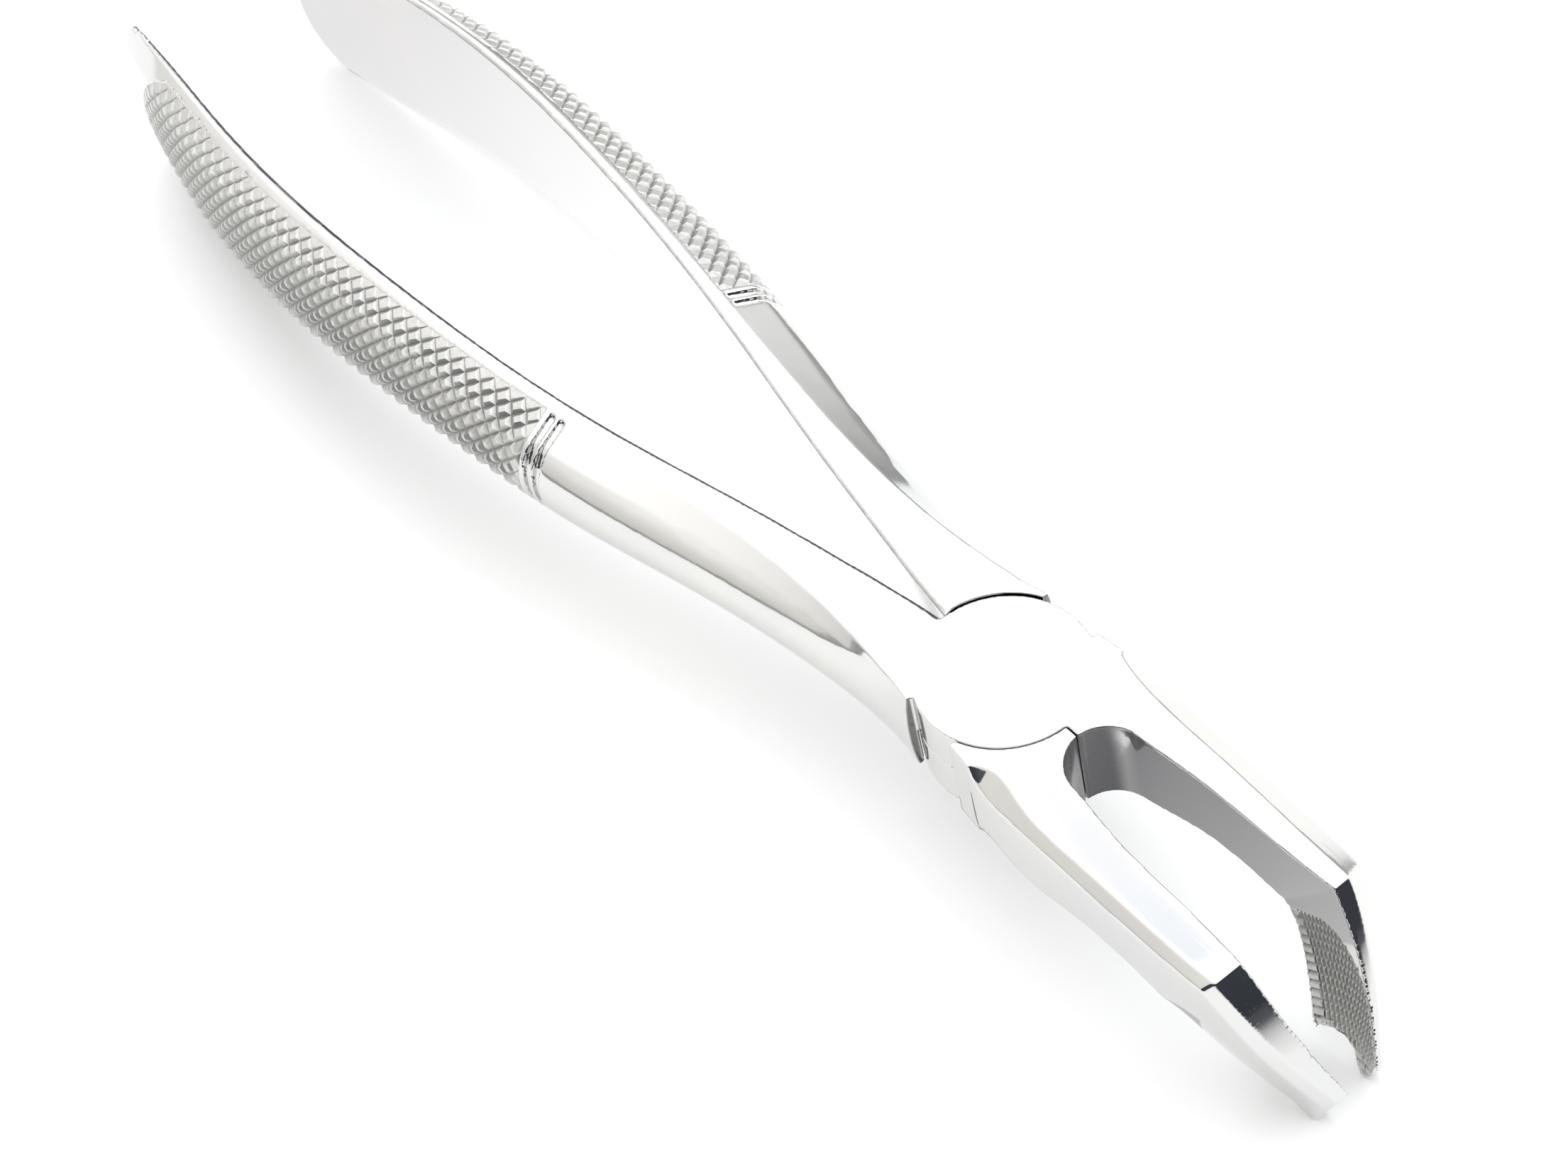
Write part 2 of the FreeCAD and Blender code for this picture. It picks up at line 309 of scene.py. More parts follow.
def cast_solid(name, points, faces, voxel, smoothing):
    """One closed skin round the given triangles, softened. The voxel is in mm."""
    obj = triangle_object(name, points / MM, faces)
    remesh = obj.modifiers.new("remesh", "REMESH")
    remesh.mode = "VOXEL"
    remesh.voxel_size = voxel
    smooth = obj.modifiers.new("smooth", "SMOOTH")
    smooth.factor = 0.5
    smooth.iterations = smoothing
    apply_modifiers(obj)
    obj.data.transform(Matrix.Scale(MM, 4))
    return obj


def disc_cap(radius, z):
    """Flat disc that closes the rivet's hole."""
    count = 96
    turns = np.linspace(0, 2 * math.pi, count + 1)[:-1]
    rim = np.stack([PIVOT.x + radius * np.cos(turns), PIVOT.y + radius * np.sin(turns),
                    np.full(count, z)], 1)
    points = np.vstack([[PIVOT.x, PIVOT.y, z], rim])
    faces = np.array([(0, 1 + i, 1 + (i + 1) % count) for i in range(count)])
    return points, faces


def without_rivet_hole(points, faces, normals):
    """Leaves out the hole's own walls."""
    radius = np.hypot(points[:, 0] - PIVOT.x, points[:, 1] - PIVOT.y)[faces].max(1)
    face_normal = unit(np.cross(points[faces[:, 1]] - points[faces[:, 0]],
                                points[faces[:, 2]] - points[faces[:, 0]]))
    wall = (radius < RIVET_HEAD_R + 0.05 * MM) & (abs(face_normal[:, 2]) < 0.95)
    return faces[~wall], normals[~wall]


def forging(node, name, body, closed):
    """A packed half with its true curved surfaces and softly polished edges; closed fills its hole."""
    points, faces, normals = mesh_arrays(frame["nodes"][node])
    if closed:
        faces, normals = without_rivet_hole(points, faces, normals)
    fine_points, fine_faces = refined(points, faces, normals, FORGING_STEP)
    if closed:
        for radius, z in ((RIVET_HEAD_R + 0.02 * MM, JOINT_HIGH.z), (RIVET_HEAD_R, PIVOT.z + 0.02 * MM)):
            cap_points, cap_faces = disc_cap(radius, z)
            fine_faces = np.vstack([fine_faces, cap_faces + len(fine_points)])
            fine_points = np.vstack([fine_points, cap_points])
    obj = cast_solid(name, fine_points, fine_faces, VOXEL * (1), SMOOTHING)
    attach(obj, body)
    return obj


def open_seat(obj):
    """Opens the seat's edge a little at the lower half's shaft, where it shows as a dark crescent."""
    points = vertex_array(obj)
    local = points[:, :2] - np.array(PIVOT)[:2]
    radius = np.linalg.norm(local, axis=1)
    push = SEAT_OPENING * ease(1 - np.maximum(radius - SEAT_R, 0) / SEAT_REACH)
    push *= ease(local[:, 1] / SEAT_REACH) * (points[:, 2] > PIVOT.z + 0.1 * MM)
    push *= radius > SEAT_R - 0.2 * MM
    points[:, :2] += (push / np.maximum(radius, MM))[:, None] * local
    move_vertices(obj, points)


def break_edge(obj, side):
    """Takes the sharp corner off the handle's top, along its inner edge."""
    points = vertex_array(obj)
    behind = PIVOT.x - points[:, 0]
    inward = -side * points[:, 1]
    handle = (behind > RECESS_FROM) & (behind < KNURL_END) & (points[:, 2] > PIVOT.z)
    handle &= points[:, 1] * side > 0
    places, edges, tops = [], [], []
    for place in np.arange(RECESS_FROM, KNURL_END, 1.5 * MM):
        near = handle & (abs(behind - place) < 0.5 * MM)
        edge = inward[near].max()
        places.append(place)
        edges.append(edge)
        tops.append(points[near & (inward > edge - 1 * MM), 2].max())
    past = inward - np.interp(behind, places, edges) + EDGE_WIDTH
    limit = np.interp(behind, places, tops) - EDGE_SLOPE * past
    broken = handle & (past > 0)
    points[broken, 2] = np.minimum(points[broken, 2], limit[broken])
    move_vertices(obj, points)


def mark_painted_shade(obj, side):
    """Marks where the steel is rougher and darkened with painted shade: the joint's recesses, and a painted
    dark reflection along the inner edge of the handle's top, weaker on the lower half.
    """
    normals = normal_array(obj)
    local = vertex_array(obj) - np.array(PIVOT)
    radius = np.hypot(local[:, 0], local[:, 1])
    recess = ease((normals[:, 0] - 0.45) / 0.3) * (radius > RECESS_FROM) * (radius < RECESS_TO)
    tilt = np.degrees(np.arctan2(-side * normals[:, 1], normals[:, 2]))
    edge = ease((tilt - 12) / 8) * ease((80 - tilt) / 8) * (local[:, 0] < -RECESS_FROM)
    painted_shade_and_dull = obj.data.attributes.new("painted_shade_and_dull", "FLOAT", "POINT")
    # Painted shade in the recesses and a painted dark reflection along the edge, for the steel's colour; it
    # also makes the steel rougher there.
    painted_shade_and_dull.data.foreach_set("value", np.maximum(0.8 * recess, edge * (1.0 if side < 0 else 0.3)))


def hidden_rivet():
    """Rivet: its lower end shows in the underside, its upper end is peened out of sight."""
    points, faces, normals = mesh_arrays(frame["nodes"]["pivot_rivet"])
    fine_points, fine_faces = refined(points, faces, normals, RIVET_STEP)
    upper_end = fine_points[:, 2] > PIVOT.z + 1 * MM
    fine_points[upper_end, 2] -= RIVET_SINK
    obj = cast_solid("rivet", fine_points, fine_faces, RIVET_VOXEL, RIVET_SMOOTHING)
    thin_out(obj, RIVET_FACES)
    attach(obj, "upper")
    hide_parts("pivot_rivet")
    return obj


def thin_out(obj, faces):
    """Decimates to a number of triangles."""
    count = sum(len(p.vertices) - 2 for p in obj.data.polygons)
    thin = obj.modifiers.new("thin", "DECIMATE")
    thin.ratio = min(1.0, faces / count)
    apply_modifiers(obj)
    smooth_shading(obj)


class Wrap:
    """Skin of a forging round one of its limbs, laid out flat: u along it and v round it."""

    def __init__(self, forged, starts, across, up, angles, row_of):
        self.starts, self.across, self.up, self.row_of = starts, across, up, row_of
        table = np.array([[self.cast(forged, start, math.cos(a) * over + math.sin(a) * rise)
                           for a in angles] for start, over, rise in zip(starts, across, up)])
        centre = len(angles) // 2
        along = np.linalg.norm(np.diff(table[:, centre], axis=0), axis=1)
        self.u = np.concatenate([[0], np.cumsum(along)])
        self.v = np.arange(-14, 14.01, 0.2) * MM
        self.table = np.zeros((len(starts), len(self.v), 3))
        for i, ring in enumerate(table):
            arc = np.concatenate([[0], np.cumsum(np.linalg.norm(np.diff(ring, axis=0), axis=1))])
            for k in range(3):
                self.table[i, :, k] = np.interp(self.v, arc - arc[centre], ring[:, k])
        along_u = np.gradient(self.table, self.u, axis=0)
        along_v = np.gradient(self.table, self.v, axis=1)
        normal = unit(np.cross(along_u, along_v))
        facing = (normal[:, len(self.v) // 2] * across).sum(-1).mean()
        self.turned = facing < 0
        self.normal = -normal if self.turned else normal

    def cast(self, forged, start, ray):
        hit, place, _, _ = forged.ray_cast(Vector(start), Vector(ray))
        return place if hit else start

    def sample(self, table, u, v):
        """Value of a table at (u, v)."""
        i = np.clip(np.interp(u, self.u, np.arange(len(self.u))), 0, len(self.u) - 1.001)
        j = np.clip((v - self.v[0]) / (self.v[1] - self.v[0]), 0, len(self.v) - 1.001)
        a, b = i.astype(int), j.astype(int)
        s, t = (i - a)[:, None], (j - b)[:, None]
        return ((1 - s) * (1 - t) * table[a, b] + s * (1 - t) * table[a + 1, b]
                + (1 - s) * t * table[a, b + 1] + s * t * table[a + 1, b + 1])

    def edges(self, inside):
        """Smoothed lowest and highest v of the part of each row that is inside."""
        middle = len(self.v) // 2
        low, high = [], []
        for row in inside:
            outside = np.nonzero(~row)[0]
            below = outside[outside < middle]
            above = outside[outside > middle]
            low.append(self.v[below.max() + 1] if len(below) else self.v[0])
            high.append(self.v[above.min() - 1] if len(above) else self.v[-1])
        smooth = [np.convolve(np.pad(edge, 3, "edge"), np.ones(7) / 7, "valid") for edge in (low, high)]
        return smooth[0], smooth[1]

    def coordinates(self, points):
        """(u, v) of points on the skin."""
        row = self.row_of(points)
        u = np.interp(row, np.arange(len(self.u)), self.u)
        near = np.clip(np.round(row).astype(int), 0, len(self.u) - 1)
        v = np.zeros(len(points))
        for i in np.unique(near):
            mine = near == i
            ring = self.table[i] - self.starts[i]
            reach = np.unwrap(np.arctan2(ring @ self.up[i], ring @ self.across[i]))
            reach -= 2 * math.pi * np.round(reach[len(reach) // 2] / (2 * math.pi))
            local = points[mine] - self.starts[i]
            angle = np.arctan2(local @ self.up[i], local @ self.across[i])
            v[mine] = np.interp(angle, np.maximum.accumulate(reach), self.v)
        return u, v


def sink(forged, wrap, chosen, margin, depth):
    """Lowers the forging under a skin, so that only the skin shows there."""
    points = vertex_array(forged)
    mine = np.nonzero(chosen(points))[0]
    u, v = wrap.coordinates(points[mine])
    lowered = ease((margin(u, v) - 0.15 * MM) / (0.35 * MM)) * depth
    points[mine] -= lowered[:, None] * normal_array(forged)[mine]
    move_vertices(forged, points)


def groove_lines(low, high, pitch, half_width):
    """Mesh lines across a set of grooves: (place of the groove, offset from it) for each."""
    lines = []
    for k in range(math.floor(low / pitch) - 1, math.ceil(high / pitch) + 2):
        lines += [(k * pitch, -half_width), (k * pitch, 0.0), (k * pitch, half_width)]
    return np.array(lines)


def cut_skin(name, wrap, lines_a, lines_b, place, margin, strength, limit, thickness):
    """Closed skin with two sets of V grooves; strength gives how deep each set is at (u, v)."""
    ia, ib = np.meshgrid(np.arange(len(lines_a)), np.arange(len(lines_b)), indexing="ij")
    ga, oa = lines_a[ia.ravel()].T
    gb, ob = lines_b[ib.ravel()].T
    u, v = place(ga + oa, gb + ob)
    full_a, full_b, deep_a, deep_b = strength(u, v)
    u, v = place(ga + oa * np.maximum(full_a, 0.08), gb + ob * np.maximum(full_b, 0.08))
    inside = margin(u, v)
    u, v = limit(u, v)
    cut = np.maximum(np.where(oa == 0, full_a * deep_a, 0), np.where(ob == 0, full_b * deep_b, 0))
    sunk = 0.04 * MM * (1 - ease(margin(u, v) / (0.25 * MM)))
    surface = wrap.sample(wrap.table, u, v)
    normal = unit(wrap.sample(wrap.normal, u, v))
    outside = surface - (cut + sunk)[:, None] * normal
    shape = (len(lines_a), len(lines_b))
    index = np.arange(len(u)).reshape(shape)
    keep = (inside > 0).reshape(shape)
    cells = keep[:-1, :-1] | keep[1:, :-1] | keep[1:, 1:] | keep[:-1, 1:]
    low = ((oa == 0) & (ob == 0)).reshape(shape)
    i, j = np.nonzero(cells)
    q = np.stack([index[i, j], index[i + 1, j], index[i + 1, j + 1], index[i, j + 1]], 1)
    along = low[i, j] | low[i + 1, j + 1]
    faces = np.concatenate([q[along][:, [0, 1, 2]], q[along][:, [0, 2, 3]],
                            q[~along][:, [0, 1, 3]], q[~along][:, [1, 2, 3]]])
    return closed_skin(name, outside, surface - thickness * normal, faces, cut, wrap.turned)


def closed_skin(name, outside, inside, faces, cut, turned):
    """Joins an outside and an inside sheet along their borders."""
    used = np.unique(faces)
    renumber = np.full(len(outside), -1)
    renumber[used] = np.arange(len(used))
    faces = renumber[faces]
    if turned:
        faces = faces[:, ::-1]
    count = len(used)
    edges = np.concatenate([faces[:, [0, 1]], faces[:, [1, 2]], faces[:, [2, 0]]])
    known = {(int(a), int(b)) for a, b in edges}
    border = [(a, b) for a, b in known if (b, a) not in known]
    rim = []
    for a, b in border:
        rim += [(b, a, a + count), (b, a + count, b + count)]
    all_faces = np.vstack([faces, faces[:, ::-1] + count, np.array(rim)])
    obj = triangle_object(name, np.vstack([outside[used], inside[used]]), all_faces)
    obj.data.shade_flat()
    # Depth of the cut, which sets the painted shade in the grooves.
    groove_depth = obj.data.attributes.new("cut", "FLOAT", "POINT")
    groove_depth.data.foreach_set("value", np.concatenate([cut[used], cut[used]]) / np.max(cut))
    return obj


def knurl(name, forged, side, body):
    """Two sets of crossing grooves round the outside of one grip."""
    step = 0.7 * MM
    behind = np.arange(KNURL_START - 3 * MM, KNURL_END + 5 * MM, step)
    points = vertex_array(forged)
    middles = []    # of the grip's cross-sections
    for x in PIVOT.x - behind:
        near = points[(abs(points[:, 0] - x) < 0.4 * MM) & (points[:, 1] * side > 0)]
        middles.append((near[:, 1:].min(0) + near[:, 1:].max(0)) / 2)
    middles = [np.polyval(np.polyfit(behind, column, 5), behind) for column in np.transpose(middles)]
    count = len(behind)
    starts = np.stack([PIVOT.x - behind, *middles], 1)
    wrap = Wrap(forged, starts, np.tile((0.0, side, 0.0), (count, 1)), np.tile((0.0, 0.0, 1.0), (count, 1)),
                np.radians(np.arange(-155, 156, 2.5)), lambda p: (PIVOT.x - p[:, 0] - behind[0]) / step)
    out = side * wrap.table[:, :, 1]
    bottom, top = wrap.edges(out > out.min(1, keepdims=True) + KNURL_BAND)
    first = np.interp(KNURL_START - 1.5 * MM, behind, wrap.u)
    inner_y = (side * wrap.table[3, :, 1]).min()
    last = np.interp(KNURL_END, behind, wrap.u)

    def margin(u, v):
        """Distance inside the knurled area."""
        high = np.interp(u, wrap.u, top)
        low = np.interp(u, wrap.u, bottom)
        rise = np.clip((2 * v - high - low) / (high - low), -1, 1)
        end = last - KNURL_BULGE * (1 - np.sqrt(1 - rise ** 2))
        place = wrap.sample(wrap.table, u, v)
        start = KNURL_START - KNURL_LEAN * (side * place[:, 1] - inner_y)
        return np.minimum.reduce([high - v, v - low, PIVOT.x - place[:, 0] - start, (end - u) * 0.8])

    def limit(u, v):
        """The nearest (u, v) that is barely outside it."""
        u = np.minimum(u, last + 0.3 * MM)
        lacking = np.maximum(0, -0.1 * MM - margin(u, v))
        u = u + np.where(u < first + 8 * MM, lacking, 0)
        return u, np.clip(v, np.interp(u, wrap.u, bottom) - 0.4 * MM, np.interp(u, wrap.u, top) + 0.4 * MM)

    def strength(u, v):
        """The grooves get shallow near the border, in two stages."""
        inside = margin(u, v)
        full = 0.55 * np.clip(inside / KNURL_RUNOUT, 0, 1) ** 0.7
        full += 0.45 * np.clip(inside / (3 * KNURL_RUNOUT), 0, 1)
        return full, full, KNURL_DEPTH, KNURL_DEPTH

    def on_grip(p):
        return (p[:, 1] * side > 0) & (p[:, 0] < PIVOT.x - KNURL_START + 2 * MM)

    reach = (last - first) * DIAGONAL + 14 * MM
    lines = groove_lines(-14 * MM, reach, KNURL_PITCH, KNURL_HALF_WIDTH * KNURL_PITCH)
    skin = cut_skin(name, wrap, lines, lines, lambda a, b: (first + (a + b) * DIAGONAL, (a - b) * DIAGONAL),
                    margin, strength, limit, KNURL_SKIN)
    sink(forged, wrap, on_grip, margin, KNURL_DEPTH + 0.12 * MM)
    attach(skin, body)
    return skin


def beak_teeth(name, forged, side, body):
    """Fine grooves along the inner face of one beak, notched across."""
    step = 0.3 * MM
    turns = BEAK_FIRST_TURN - np.arange(0, BEAK_LENGTH, step) / BEAK_R
    ups = np.stack([np.cos(turns), np.zeros(len(turns)), np.sin(turns)], 1)
    across = np.tile((0.0, -side, 0.0), (len(turns), 1))
    outward = Vector((0, side, 0))
    starts = []
    for up in ups:
        place = Vector(BEAK_CENTRE + (BEAK_R - BEAK_MIDDLE) * up)
        hit, inner, _, _ = forged.ray_cast(place, outward)
        if not hit:
            break
        hit, outer, _, _ = forged.ray_cast(inner + outward * 0.1 * MM, outward)
        starts.append(inner + 0.4 * (outer - inner))
    count = len(starts)
    wrap = Wrap(forged, np.array(starts), across[:count], ups[:count],
                np.radians(np.arange(-104, 104.1, 0.8)), lambda p: beak_turn(p) * BEAK_R / step)
    facing = (wrap.normal * across[:count, None]).sum(-1) > 0.7
    back, front = wrap.edges(facing)
    top_v = (back[0] + front[0]) / 2

    def margin(u, v):
        """Distance inside the notched area, which wraps a little round both edges."""
        low = np.interp(u, wrap.u, back) - 0.35 * MM
        high = np.interp(u, wrap.u, front) + 0.35 * MM
        return np.minimum.reduce([v - low, high - v, u - TEETH_START - slant(u, v), wrap.u[-1] - u])

    def slant(u, v):
        """How much further down the teeth start towards the front edge."""
        high = np.interp(u, wrap.u, front)
        return np.clip((v - high + 5.2 * MM), 0, None) ** 2 / (4.6 * MM)

    def limit(u, v):
        u = np.clip(u, 0, wrap.u[-1])
        low = np.interp(u, wrap.u, back) - 0.45 * MM
        high = np.interp(u, wrap.u, front) + 0.45 * MM
        return u, np.clip(v, low, high)

    def strength(u, v):
        inside = np.clip(margin(u, v) / (0.35 * MM), 0, 1)
        strip = ease((v - np.interp(u, wrap.u, back) - 0.9 * MM) / (0.3 * MM))
        edge = ease((np.interp(u, wrap.u, front) - 0.25 * MM - v) / (0.3 * MM))
        return inside * strip * edge, inside, TEETH_DEPTH, NOTCH_DEPTH

    def on_this_beak(p):
        return (p[:, 1] * side > 0) & on_beak(p, count * step)

    lines_a = groove_lines(-9 * MM, 9 * MM, TEETH_PITCH, 0.42 * TEETH_PITCH)
    lines_b = groove_lines(0, wrap.u[-1], NOTCH_PITCH, 0.26 * NOTCH_PITCH)
    skin = cut_skin(name, wrap, lines_a, lines_b, lambda a, b: (b, a + top_v), margin, strength, limit,
                    TEETH_SKIN)
    sink(forged, wrap, on_this_beak, margin, NOTCH_DEPTH + 0.05 * MM)
    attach(skin, body)
    return skin


def beak_turn(points):
    """Angle travelled along the beak, from the bend."""
    local = points - BEAK_CENTRE
    return BEAK_FIRST_TURN - np.arctan2(local[:, 2], local[:, 0])


def on_beak(points, length):
    """Which points are on a beak, within a length from its bend."""
    travelled = beak_turn(points) * BEAK_R
    radius = np.hypot(points[:, 0] - BEAK_CENTRE[0], points[:, 2] - BEAK_CENTRE[2])
    inside = (travelled > 0) & (travelled < length)
    return inside & (abs(radius - BEAK_R) < 12 * MM) & (points[:, 0] > PIVOT.x + 20 * MM)


class Nodes:
    """Short way to build a material's nodes."""

    def __init__(self, name):
        self.material = bpy.data.materials.new(name)
        self.material.use_nodes = True
        self.tree = self.material.node_tree
        self.shader = self.tree.nodes["Principled BSDF"]

    def add(self, kind, inputs=None, **settings):
        node = self.tree.nodes.new(kind)
        for key, value in settings.items():
            setattr(node, key, value)
        for key, value in (inputs or {}).items():
            self.feed(node.inputs[key], value)
        return node

    def feed(self, socket, value):
        if isinstance(value, bpy.types.NodeSocket):
            self.tree.links.new(value, socket)
        else:
            socket.default_value = value

    def stretched(self, scale):
        """Object coordinates, stretched."""
        place = self.add("ShaderNodeTexCoord").outputs["Object"]
        return self.add("ShaderNodeMapping", {"Vector": place, "Scale": scale}).outputs["Vector"]

    def noise(self, scale, size, detail=3.0):
        """Noise value, 0 to 1, on coordinates stretched by scale."""
        return self.add("ShaderNodeTexNoise", {"Vector": self.stretched(scale), "Scale": size,
                                               "Detail": detail}).outputs["Fac"]

    def ramp(self, value, low, high, to_low, to_high):
        return self.add("ShaderNodeMapRange", {"Value": value, "From Min": low, "From Max": high,
                                               "To Min": to_low, "To Max": to_high}).outputs["Result"]

    def blend(self, factor, first, second):
        mix = self.add("ShaderNodeMix", data_type="RGBA")
        self.feed(mix.inputs[0], factor)
        self.feed(mix.inputs[6], (*first, 1) if isinstance(first, tuple) else first)
        self.feed(mix.inputs[7], (*second, 1) if isinstance(second, tuple) else second)
        return mix.outputs[2]

    def sum(self, first, second, operation="ADD"):
        return self.add("ShaderNodeMath", {0: first, 1: second}, operation=operation).outputs[0]

    def bump(self, height, distance, strength):
        bump = self.add("ShaderNodeBump", {"Height": height, "Distance": distance, "Strength": strength})
        self.feed(self.shader.inputs["Normal"], bump.outputs["Normal"])

    def metal(self, colour, rough, height, distance, strength):
        self.feed(self.shader.inputs["Base Color"], colour)
        self.feed(self.shader.inputs["Roughness"], rough)
        self.shader.inputs["Metallic"].default_value = 1.0
        self.bump(height, distance, strength)
        return self.material


def polished_steel():
    """Polished stainless steel with a fine grain and scratches along the forceps, rougher where marked and
    darkened there with painted shade.
    """
    nodes = Nodes("polished_steel")
    cloud = nodes.noise(EVEN, 55.0)
    grain = nodes.noise(GRAIN, 6.0, 2.0)
    scratched = nodes.ramp(nodes.noise(SCRATCHES, 2.0, 1.0), 0.66, 0.72, 0.0, 1.0)
    painted_shade_and_dull = nodes.add("ShaderNodeAttribute", attribute_name="painted_shade_and_dull").outputs["Fac"]
    colour = nodes.blend(nodes.ramp(cloud, 0.35, 0.65, 0.0, 1.0), STEEL_COOL, STEEL_WARM)
    rough = nodes.ramp(nodes.noise(EVEN, 140.0), 0.3, 0.7, 0.07, 0.12)
    rough = nodes.sum(rough, nodes.ramp(scratched, 0.0, 1.0, 0.0, 0.07))
    rough = nodes.sum(rough, nodes.ramp(painted_shade_and_dull, 0.0, 1.0, 0.0, 0.15))
    height = nodes.sum(grain, nodes.ramp(scratched, 0.0, 1.0, 0.0, -1.0))
    # Painted shade: darker colour where marked, in the joint's recesses and as a dark reflection line along
    # the handle's inner top edge.
    return nodes.metal(nodes.blend(painted_shade_and_dull, colour, STEEL_PAINTED_SHADE), rough, height, 0.002 * MM, 0.25)


def cut_steel():
    """Steel of the knurl and the teeth, rougher in the grooves and darkened there with painted shade, with
    random dull specks.
    """
    nodes = Nodes("cut_steel")
    cloud = nodes.noise(EVEN, 55.0)
    grain = nodes.noise(GRAIN, 6.0, 2.0)
    speck = nodes.noise(EVEN, 2600.0)
    depth = nodes.add("ShaderNodeAttribute", attribute_name="cut").outputs["Fac"]
    painted_shade_and_dull = nodes.sum(nodes.ramp(depth, 0.0, 0.9, 0.0, 0.75), nodes.ramp(speck, 0.4, 0.7, 0.0, 0.25))
    colour = nodes.blend(nodes.ramp(cloud, 0.35, 0.65, 0.0, 0.5), STEEL_CUT, STEEL_WARM)
    rough = nodes.sum(nodes.ramp(painted_shade_and_dull, 0.0, 1.0, 0.3, 0.45), nodes.ramp(cloud, 0.3, 0.7, 0.0, 0.06))
    height = nodes.sum(grain, nodes.ramp(speck, 0.3, 0.7, 0.0, 1.5))
    # Painted shade: darker in the grooves, by their depth; the specks are random tone.
    return nodes.metal(nodes.blend(painted_shade_and_dull, colour, STEEL_GROOVE_SHADE), rough, height, 0.002 * MM, 0.25)


def rivet_steel():
    """The rivet's end, ground with turning marks."""
    nodes = Nodes("rivet_steel")
    place = nodes.add("ShaderNodeTexCoord").outputs["Object"]
    centred = nodes.add("ShaderNodeVectorMath", {0: place, 1: tuple(PIVOT)}, operation="SUBTRACT").outputs[0]
    flat = nodes.add("ShaderNodeVectorMath", {0: centred, 1: (1, 1, 0)}, operation="MULTIPLY").outputs[0]
    radius = nodes.add("ShaderNodeVectorMath", {0: flat}, operation="LENGTH").outputs["Value"]
    rings = nodes.add("ShaderNodeTexNoise", {"W": nodes.sum(radius, 9000.0, "MULTIPLY"), "Detail": 2.0},
                      noise_dimensions="1D").outputs["Fac"]
    cloud = nodes.noise(EVEN, 500.0)
    colour = nodes.blend(nodes.ramp(cloud, 0.3, 0.7, 0.0, 1.0), STEEL_COOL, STEEL_WARM)
    return nodes.metal(colour, nodes.ramp(rings, 0.3, 0.7, 0.12, 0.24), rings, 0.004 * MM, 0.3)


def view_rotation():
    """The camera's turn about the vertical, its tilt down and its roll."""
    turn = Matrix.Rotation(math.radians(AZIMUTH), 3, "Z")
    tilt = Matrix.Rotation(math.radians(90 - ELEVATION), 3, "X")
    roll = Matrix.Rotation(math.radians(ROLL), 3, "Z")
    return turn @ tilt @ roll


def add_camera():
    data = bpy.data.cameras.new("camera")
    data.lens = LENS
    data.sensor_width = 36
    data.clip_start = 0.01
    camera = linked("camera", data)
    rotation = view_rotation()
    camera.matrix_world = Matrix.Translation(AIM + rotation @ Vector((0, 0, DISTANCE))) @ rotation.to_4x4()
    bpy.context.scene.camera = camera


def add_floor():
    """Pale plain table."""
    side = FLOOR_REACH
    points = [(-side, -side, 0), (side, -side, 0), (side, side, 0), (-side, side, 0)]
    floor = flat_object("floor", points, [(0, 1, 2, 3)])
    nodes = Nodes("floor")
    cloud = nodes.noise(EVEN, 9.0)
    nodes.feed(nodes.shader.inputs["Base Color"],
               nodes.blend(nodes.ramp(cloud, 0.3, 0.7, 0.0, 1.0), FLOOR_COOL, FLOOR_WARM))
    nodes.feed(nodes.shader.inputs["Roughness"], nodes.ramp(cloud, 0.3, 0.7, 0.55, 0.65))
    nodes.bump(nodes.noise(EVEN, 900.0), 0.01 * MM, 0.1)
    floor.data.materials.append(nodes.material)


def add_card(name, points, faces, axis, places, shades):
    """Card that only reflections see, shaded from one place along an axis to another."""
    card = flat_object(name, points, faces)
    nodes = Nodes(name)
    place = nodes.add("ShaderNodeTexCoord").outputs["Object"]
    along = nodes.add("ShaderNodeSeparateXYZ", {"Vector": place}).outputs[axis]
    nodes.feed(nodes.shader.inputs["Emission Color"],
               nodes.blend(nodes.ramp(along, *places, 0.0, 1.0), *shades))
    nodes.shader.inputs["Emission Strength"].default_value = 1.0
    nodes.shader.inputs["Base Color"].default_value = (0, 0, 0, 1)
    nodes.shader.inputs["Roughness"].default_value = 1.0
    card.data.materials.append(nodes.material)
    card.visible_camera = False
    card.visible_diffuse = False
    card.visible_shadow = False


def room_wall(name, turns, height, shades):
    """Curved stretch of the unlit room round the table, shaded from its foot to its top."""
    turns = np.radians(np.linspace(*turns, WALL_POINTS))
    low = [(ROOM_R * math.cos(t), ROOM_R * math.sin(t), -0.01) for t in turns]
    high = [(x, y, height) for x, y, _ in low]
    count = len(turns)
    faces = [(i, i + 1, i + 1 + count, i + count) for i in range(count - 1)]
    add_card(name, low + high, faces, "Z", (0, height), shades)


def table_card(name, outline, height, places, shades):
    """Card lying just above the table, shaded along x."""
    add_card(name, [(x, y, height) for x, y in outline], [(0, 1, 2, 3)], "X", places, shades)


def room():
    """The unlit room: three stretches of wall, and a painted dark reflection in front of the beaks, a sheet
    just above the table.
    """
    room_wall("room_front", *FRONT_WALL)
    room_wall("room_side", *SIDE_WALL)
    room_wall("room_back", *BACK_WALL)
    # Painted dark reflection: a sheet just above the table, bright near the forceps and dark further out,
    # that only reflections see.
    outline = ((DARK_REFLECTION_NEAR, -ROOM_R), (ROOM_R, -ROOM_R), (ROOM_R, ROOM_R), (DARK_REFLECTION_NEAR, ROOM_R))
    table_card("painted_dark_reflection", outline, 0.3 * MM, (DARK_REFLECTION_NEAR, DARK_REFLECTION_FAR), DARK_REFLECTION_SHADES)


def beside_rivet(outline):
    return [(PIVOT.x + x * MM, PIVOT.y + y * MM) for x, y in outline]


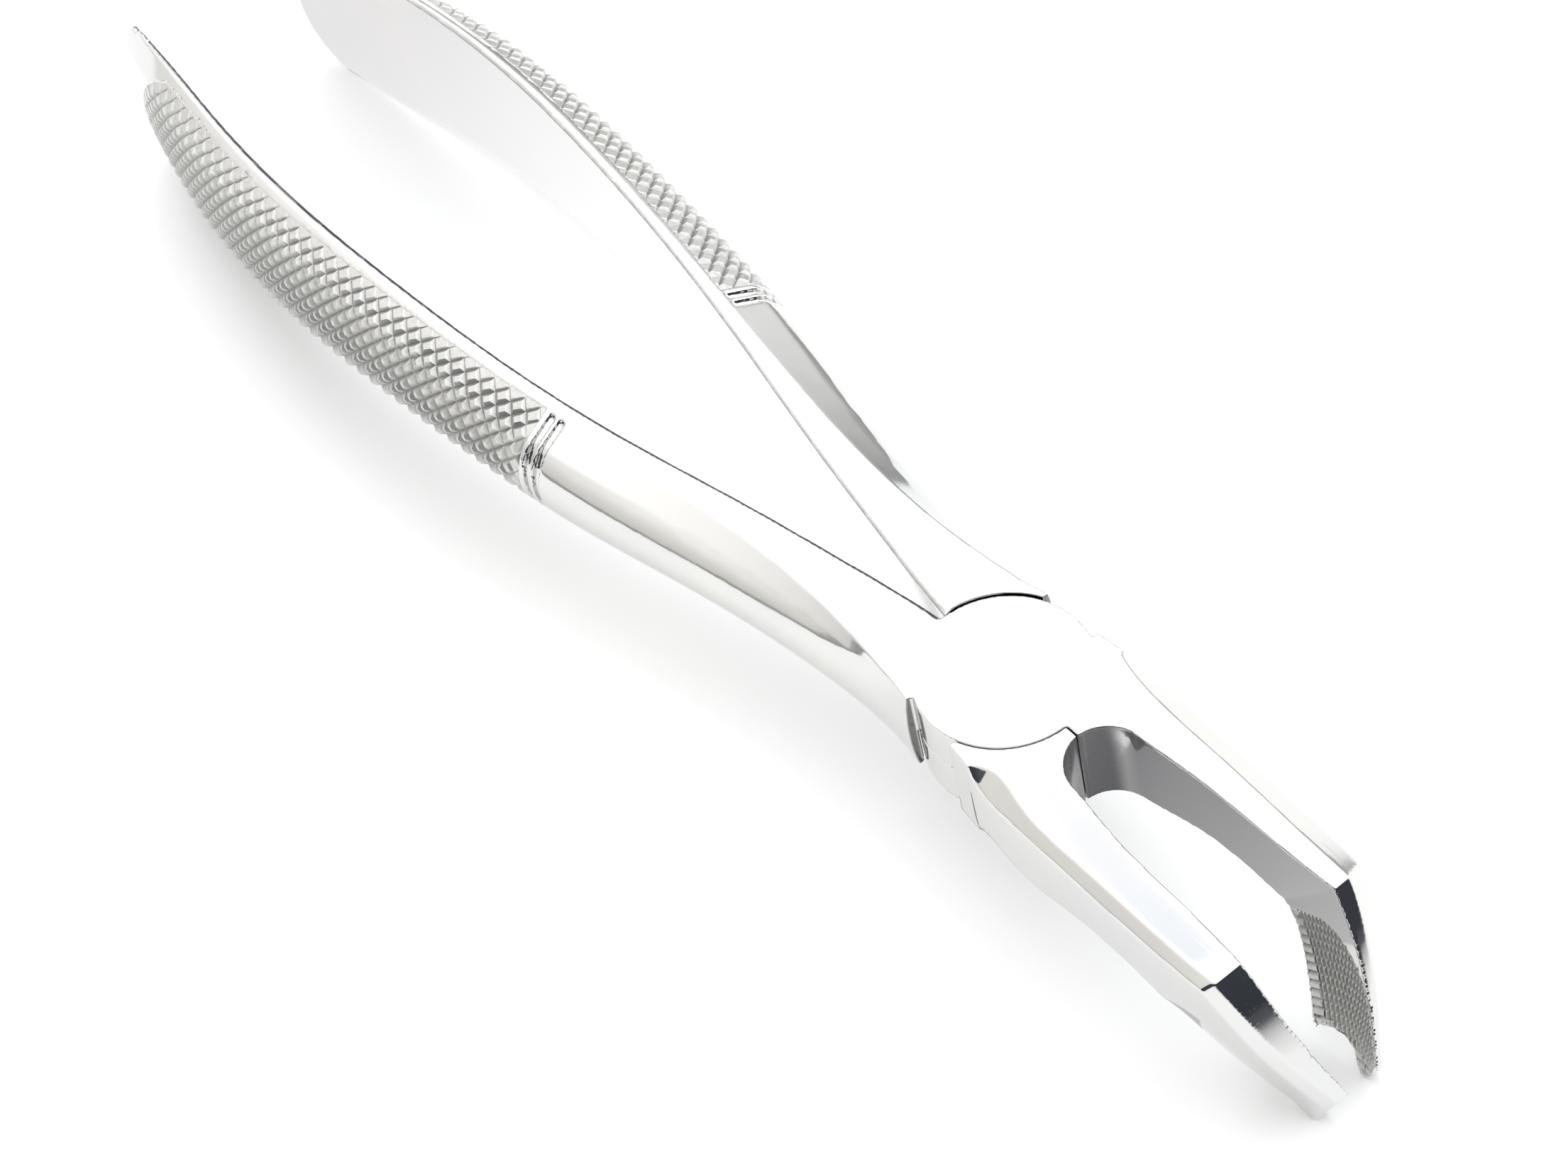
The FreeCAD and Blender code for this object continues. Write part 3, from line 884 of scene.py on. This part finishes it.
def jaw_shade():
    """Shade on the table under the jaws."""
    outline = beside_rivet(SHADE_OUTLINE)
    table_card("jaw_shade", outline, 0.3 * MM, (outline[0][0], outline[1][0]), SHADE_SHADES)


def handle_glow():
    """Lit stretch of the table along the inside of the far handle."""
    table_card("handle_glow", beside_rivet(GLOW_OUTLINE), 0.2 * MM, (PIVOT.x + GLOW_FROM, PIVOT.x + GLOW_TO),
               GLOW_SHADES)


def painted_reflection_over_jaw():
    """Painted reflection: a pale glowing card hung in the air, placed from the camera so that it shows
    mirrored in the flat top of the near jaw's arm.
    """
    camera = bpy.context.scene.camera.matrix_world.translation
    top = PIVOT.z + JAW_REFLECTION_LEVEL
    mirrored = Vector((camera.x, camera.y, 2 * top - camera.z))
    corners = [Vector((x, y, top)) for x, y in beside_rivet(JAW_REFLECTION_OUTLINE)]
    points = [mirrored + (corner - mirrored) * JAW_REFLECTION_REACH for corner in corners]
    add_card("painted_reflection_over_jaw", points, [(0, 1, 2, 3)], "X", (points[0].x, points[1].x), JAW_REFLECTION_SHADES)


def add_light():
    """Light tent: brightest overhead and beyond the forceps, warmer and dimmer on the near side."""
    world = bpy.data.worlds.new("studio")
    bpy.context.scene.world = world
    world.use_nodes = True
    tree = world.node_tree
    place = tree.nodes.new("ShaderNodeTexCoord")
    lean = tree.nodes.new("ShaderNodeVectorMath")
    lean.operation = "DOT_PRODUCT"
    lean.inputs[1].default_value = Vector(BRIGHT_SIDE).normalized()
    tree.links.new(place.outputs["Generated"], lean.inputs[0])
    ramp = tree.nodes.new("ShaderNodeMapRange")
    ramp.inputs["From Min"].default_value = DIM_LEAN
    ramp.inputs["From Max"].default_value = BRIGHT_LEAN
    tree.links.new(lean.outputs["Value"], ramp.inputs["Value"])
    power = tree.nodes.new("ShaderNodeMath")
    power.operation = "POWER"
    power.inputs[1].default_value = FALLOFF
    tree.links.new(ramp.outputs["Result"], power.inputs[0])
    mix = tree.nodes.new("ShaderNodeMix")
    mix.data_type = "RGBA"
    mix.inputs[6].default_value = (*DIM_LIGHT, 1)
    mix.inputs[7].default_value = (*BRIGHT_LIGHT, 1)
    tree.links.new(power.outputs[0], mix.inputs[0])
    tree.links.new(mix.outputs[2], tree.nodes["Background"].inputs["Color"])
    bpy.context.scene.view_settings.view_transform = "Standard"


def main():
    steel = polished_steel()
    cut = cut_steel()
    upper = forging("upper_half", "upper_forging", "upper", True)
    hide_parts("upper_half")
    lower = forging("lower_half", "lower_forging", "lower", False)
    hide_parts("lower_half")
    open_seat(lower)
    for obj, side, body in ((upper, -1, "upper"), (lower, 1, "lower")):
        knurl("knurl_" + body, obj, side, body).data.materials.append(cut)
        beak_teeth("teeth_" + body, obj, -side, body).data.materials.append(cut)
        break_edge(obj, side)
        thin_out(obj, FORGING_FACES)
        mark_painted_shade(obj, side)
        obj.data.materials.append(steel)
    hidden_rivet().data.materials.append(rivet_steel())
    add_camera()
    add_floor()
    room()
    jaw_shade()
    handle_glow()
    painted_reflection_over_jaw()
    add_light()


main()
